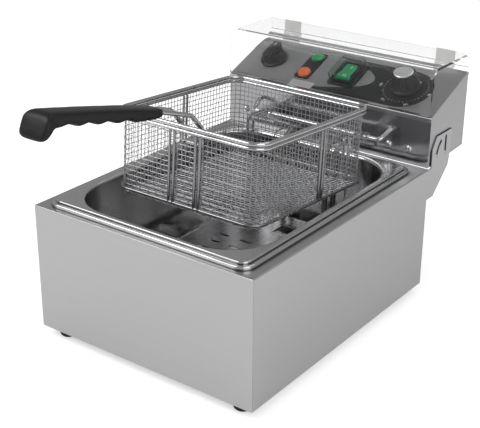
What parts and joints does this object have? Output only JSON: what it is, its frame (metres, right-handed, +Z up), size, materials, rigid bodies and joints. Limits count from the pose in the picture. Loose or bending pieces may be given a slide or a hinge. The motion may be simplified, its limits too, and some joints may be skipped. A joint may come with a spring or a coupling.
{
  "type": "deep fryer",
  "caption": "Countertop electric deep fryer: stainless casing with a lift-off wire basket over an oil tank, tip-up control head with knobs, lamps and switch under a clear hinged cover.",
  "frame": {"origin": "centre of the bounding box on the floor under the feet", "axes": "+X to the operator's right, +Y to the rear where the control head is, +Z up; the basket's handle points along -Y"},
  "size_m": [0.29, 0.5796, 0.3274],
  "materials": {
    "casing_steel": "satin brushed stainless sheet",
    "head_steel": "brushed stainless sheet",
    "tank_steel": "bright drawn stainless",
    "bright_wire": "bright plated wire",
    "element_steel": "dark nickel alloy tube",
    "screw_steel": "zinc plated steel",
    "hinge_pale": "pale moulded plastic",
    "foot_rubber": "black rubber",
    "handle_plastic": "black moulded plastic",
    "knob_plastic": "black moulded plastic",
    "film_print": "printed film in grey and black",
    "label_plate": "bare plate with no print",
    "knob_cap": "spun aluminium",
    "lens_amber": "amber lens",
    "lens_green": "green lens",
    "rocker_green": "green translucent rocker",
    "boot_clear": "clear soft boot",
    "cover_clear": "clear bent sheet",
    "inner_plastic": "dark moulded housings",
    "terminal_white": "white terminal block",
    "reset_red": "red button"
  },
  "bodies": {
    "casing": {"casing_shell": "casing_steel", "front_panel": "casing_steel", "rear_panel": "casing_steel", "base_plate": "casing_steel", "foot_front_left": "foot_rubber", "foot_front_right": "foot_rubber", "foot_rear_left": "foot_rubber", "foot_rear_right": "foot_rubber", "foot_screws": "screw_steel", "tank": "tank_steel", "hinge_bracket_left": "casing_steel", "hinge_bracket_right": "casing_steel", "bracket_rivets": "screw_steel"},
    "basket": {"basket_rim": "bright_wire", "basket_mesh": "bright_wire", "basket_frame": "bright_wire", "basket_hooks": "bright_wire", "handle_wires": "bright_wire", "handle_grip": "handle_plastic"},
    "timer": {"timer_knob": "knob_plastic", "timer_shaft": "screw_steel"},
    "thermostat": {"thermostat_knob": "knob_plastic", "thermostat_cap": "knob_cap", "thermostat_shaft": "screw_steel"},
    "rocker": {"switch_rocker": "rocker_green"},
    "reset": {"reset_button": "reset_red"},
    "cover": {"splash_cover": "cover_clear", "cover_hinge_moving": "hinge_pale"},
    "control_head": {"amber_lens": "lens_amber", "back_screws": "screw_steel", "basket_bar": "bright_wire", "blank_label": "label_plate", "cable_gland": "knob_plastic", "cover_hinge_fixed": "hinge_pale", "cover_hinge_pins": "screw_steel", "element_flange": "head_steel", "element_guard": "tank_steel", "front_nuts": "screw_steel", "green_lens": "lens_green", "guard_supports": "tank_steel", "guide_pins": "screw_steel", "head_back_cover": "head_steel", "head_front_plate": "head_steel", "head_panel": "head_steel", "head_side_left": "head_steel", "head_side_right": "head_steel", "heating_element": "element_steel", "lamp_bezel": "knob_plastic", "limiter_body": "inner_plastic", "limiter_bulb": "element_steel", "panel_film": "film_print", "pivot_pins": "screw_steel", "safety_switch": "inner_plastic", "switch_body": "knob_plastic", "switch_boot": "boot_clear", "terminal_block": "terminal_white", "thermostat_body": "inner_plastic", "thermostat_bulb": "element_steel", "timer_movement": "inner_plastic"}
  },
  "joints": [
    {"name": "head_tilt", "type": "hinge", "parent": "casing", "child": "control_head", "pos_m": [0, 0.22776, 0.169], "axis": [-1, 0, 0], "range_deg": [0, 50]},
    {"name": "cover_hinge", "type": "hinge", "parent": "control_head", "child": "cover", "pos_m": [0, 0.28015, 0.25717], "axis": [-1, 0, 0], "range_deg": [0, 100]},
    {"name": "basket_lift", "type": "slide", "parent": "control_head", "child": "basket", "axis": [0, 0, 1], "range_m": [0, 0.15]},
    {"name": "timer_turn", "type": "hinge", "parent": "control_head", "child": "timer", "pos_m": [-0.1025, 0.22882, 0.23808], "axis": [0, -0.3649, 0.9311], "range_deg": [-270, 0]},
    {"name": "thermostat_turn", "type": "hinge", "parent": "control_head", "child": "thermostat", "pos_m": [0.0865, 0.22975, 0.23844], "axis": [0, -0.3649, 0.9311], "range_deg": [-270, 0]},
    {"name": "switch_rock", "type": "hinge", "parent": "control_head", "child": "rocker", "pos_m": [0.008, 0.22911, 0.23733], "axis": [1, 0, 0], "range_deg": [0, 14]},
    {"name": "reset_press", "type": "slide", "parent": "control_head", "child": "reset", "axis": [0, -1, 0], "range_m": [0, 0.002], "stiffness_N_per_m": 400, "springref_m": -0.001}
  ]
}
